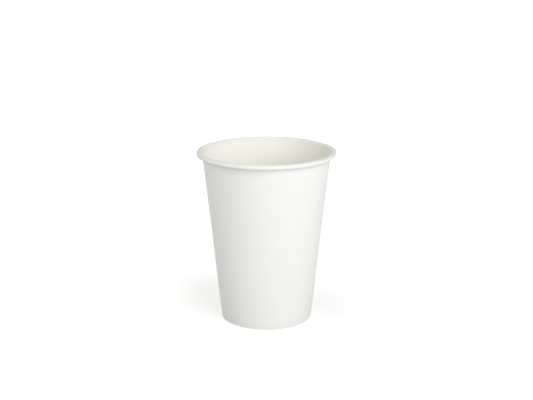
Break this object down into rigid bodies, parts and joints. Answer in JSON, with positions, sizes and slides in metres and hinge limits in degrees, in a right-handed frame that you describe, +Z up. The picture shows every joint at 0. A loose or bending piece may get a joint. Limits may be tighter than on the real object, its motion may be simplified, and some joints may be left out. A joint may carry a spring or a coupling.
{
  "type": "paper vending cup",
  "caption": "Tapered single-wall paper cup with a rolled rim, a lapped side seam and a raised bottom held in a folded hem, for hot or cold drinks from a vending machine.",
  "frame": {"origin": "centre of the foot, on the surface the cup stands on", "axes": "+Z up along the cup's axis, towards the mouth; the side seam is 10 to 54 degrees round from +X towards +Y"},
  "size_m": [0.0702, 0.0702, 0.087],
  "materials": {
    "wall_board": "matt white paperboard, thin clear coating inside",
    "bottom_board": "matt white paperboard, thin clear coating on top"
  },
  "bodies": {
    "root": {"cup_wall": "wall_board", "cup_bottom": "bottom_board"}
  },
  "joints": []
}
